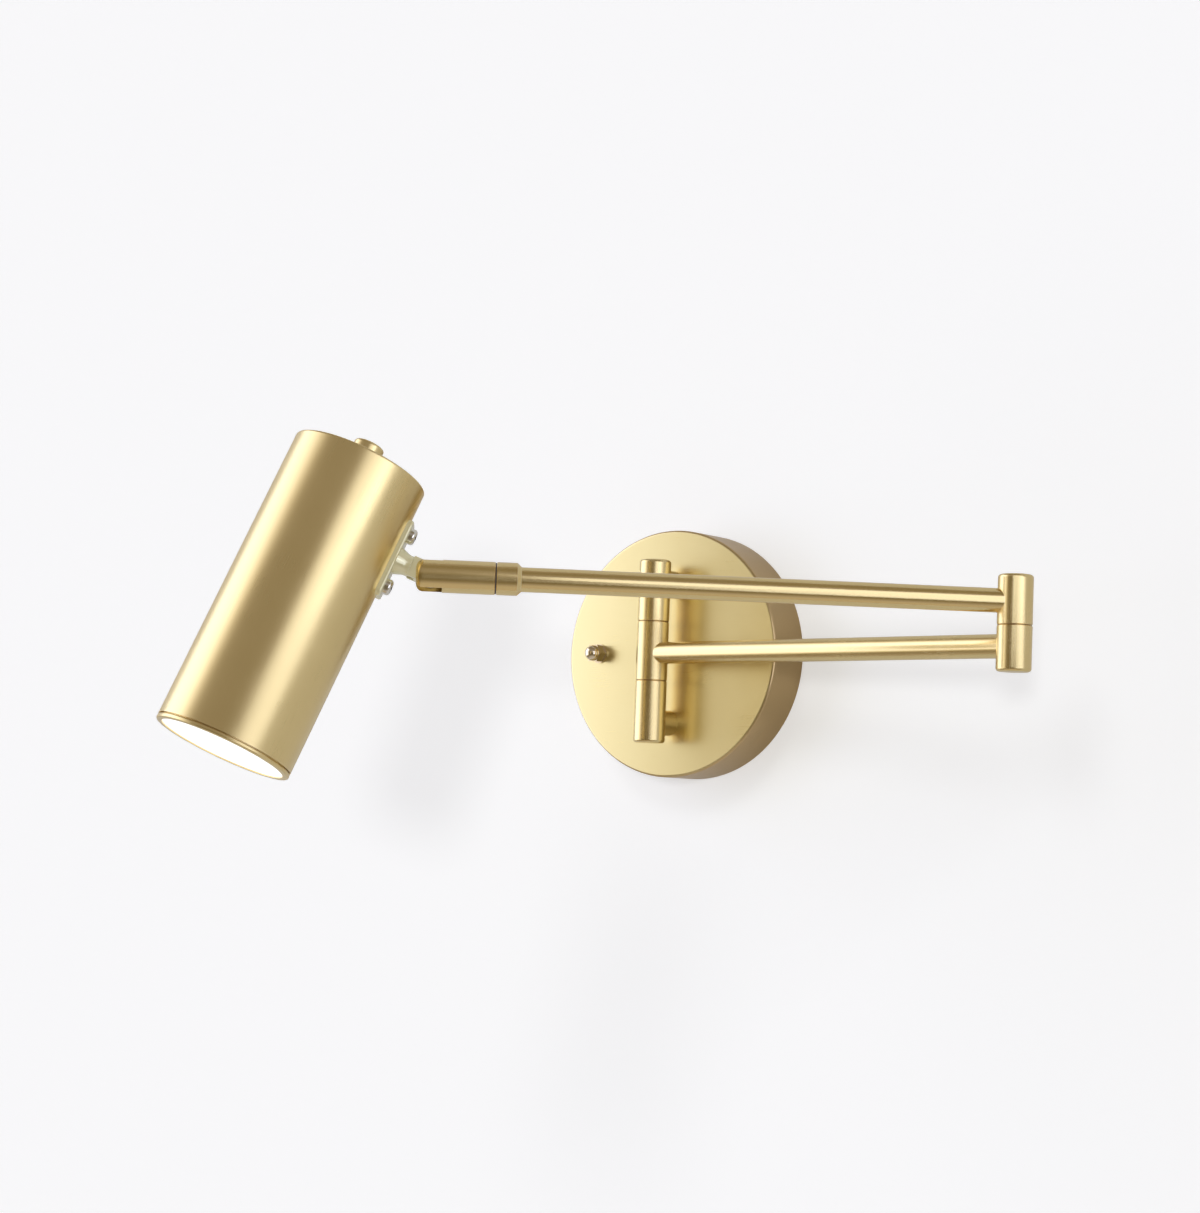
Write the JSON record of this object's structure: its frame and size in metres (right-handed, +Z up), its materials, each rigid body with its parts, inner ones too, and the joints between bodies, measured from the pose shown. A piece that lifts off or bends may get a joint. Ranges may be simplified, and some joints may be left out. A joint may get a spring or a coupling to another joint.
{
  "type": "articulating wall lamp",
  "caption": "Swing-arm wall lamp: round canopy, two folding tubular arms on vertical hinges, and a cylindrical lit head that rolls and tilts, with a rotary switch on top.",
  "frame": {"origin": "centre of the canopy back, on the wall, at the middle of the mounting strap", "axes": "+Z up, +Y into the wall, so the lamp stands out along -Y; +X right as seen from the room"},
  "size_m": [0.2882, 0.3171, 0.1473],
  "materials": {
    "satin_brass": "satin brushed",
    "polished_brass": "polished",
    "nickel": "bright plated",
    "zinc_steel": "zinc plated",
    "heat_sink_aluminium": "plain",
    "reflector_aluminium": "bright",
    "opal_diffuser": "opal, lit",
    "led_phosphor": "phosphor",
    "white_board": "white solder mask",
    "white_plastic": "matte",
    "black_plastic": "matte",
    "nylon": "matte",
    "wire_insulation": "matte"
  },
  "bodies": {
    "wall_base": {"wall_canopy": "satin_brass", "mounting_strap": "zinc_steel", "ground_screw": "zinc_steel", "canopy_studs": "zinc_steel", "stud_lock_nuts": "zinc_steel", "cap_nut_washers": "polished_brass", "canopy_cap_nuts": "polished_brass", "post_backing_plate": "zinc_steel", "post_lock_washers": "zinc_steel", "post_nuts": "zinc_steel", "upper_post": "satin_brass", "lower_post": "satin_brass", "column_top": "satin_brass", "column_bottom": "satin_brass", "column_axle": "zinc_steel", "column_washers": "nylon", "led_driver": "white_plastic", "terminal_block": "white_plastic", "terminal_screws": "zinc_steel", "driver_input_lead": "wire_insulation", "base_wire": "wire_insulation"},
    "lower_arm": {"lower_arm_tube": "satin_brass", "lower_arm_hub": "satin_brass", "elbow_lower_knuckle": "satin_brass", "elbow_pin": "zinc_steel", "elbow_washer": "nylon", "elbow_spring_washer": "zinc_steel", "elbow_nut": "zinc_steel", "lower_arm_wire": "wire_insulation"},
    "upper_arm": {"upper_arm_tube": "satin_brass", "elbow_upper_knuckle": "satin_brass", "elbow_cap": "satin_brass", "swivel_collar": "satin_brass", "upper_arm_wire": "wire_insulation"},
    "swivel": {"swivel_barrel": "satin_brass", "swivel_stem": "zinc_steel", "swivel_washer": "nylon", "seam_washer": "nylon", "tilt_screw": "nickel", "tilt_washers": "nylon"},
    "head": {"head_shell": "satin_brass", "head_bracket": "polished_brass", "bracket_screws": "nickel", "bracket_backing_plate": "zinc_steel", "rotary_switch": "black_plastic", "switch_dress_nut": "satin_brass", "heat_sink": "heat_sink_aluminium", "led_board": "white_board", "led_emitter": "led_phosphor", "board_screws": "zinc_steel", "reflector": "reflector_aluminium", "bezel_ring": "satin_brass", "diffuser": "opal_diffuser", "head_lead": "wire_insulation", "switch_lead": "wire_insulation"},
    "switch_turning_parts": {"switch_knob": "satin_brass", "switch_shaft": "zinc_steel"}
  },
  "joints": [
    {"name": "wall_swivel", "type": "hinge", "parent": "wall_base", "child": "lower_arm", "pos_m": [0, -0.0402, 0], "axis": [0, 0, -1], "range_deg": [-5, 72]},
    {"name": "elbow_swivel", "type": "hinge", "parent": "lower_arm", "child": "upper_arm", "pos_m": [0.20988, -0.07344, -0.001], "axis": [0, 0, 1], "range_deg": [-6, 132.6]},
    {"name": "barrel_roll", "type": "hinge", "parent": "upper_arm", "child": "swivel", "pos_m": [0.20988, -0.07344, 0.0181], "axis": [-0.7837, -0.6211, 0], "range_deg": [-150, 150]},
    {"name": "head_tilt", "type": "hinge", "parent": "swivel", "child": "head", "pos_m": [0.01514, -0.2278, 0.0181], "axis": [-0.6123, 0.7725, -0.1685], "range_deg": [-68, 66]},
    {"name": "switch_turn", "type": "hinge", "parent": "head", "child": "switch_turning_parts", "pos_m": [-0.02116, -0.25275, 0.0356], "axis": [0.1965, 0.3551, 0.9139], "range_deg": [0, 270]}
  ]
}
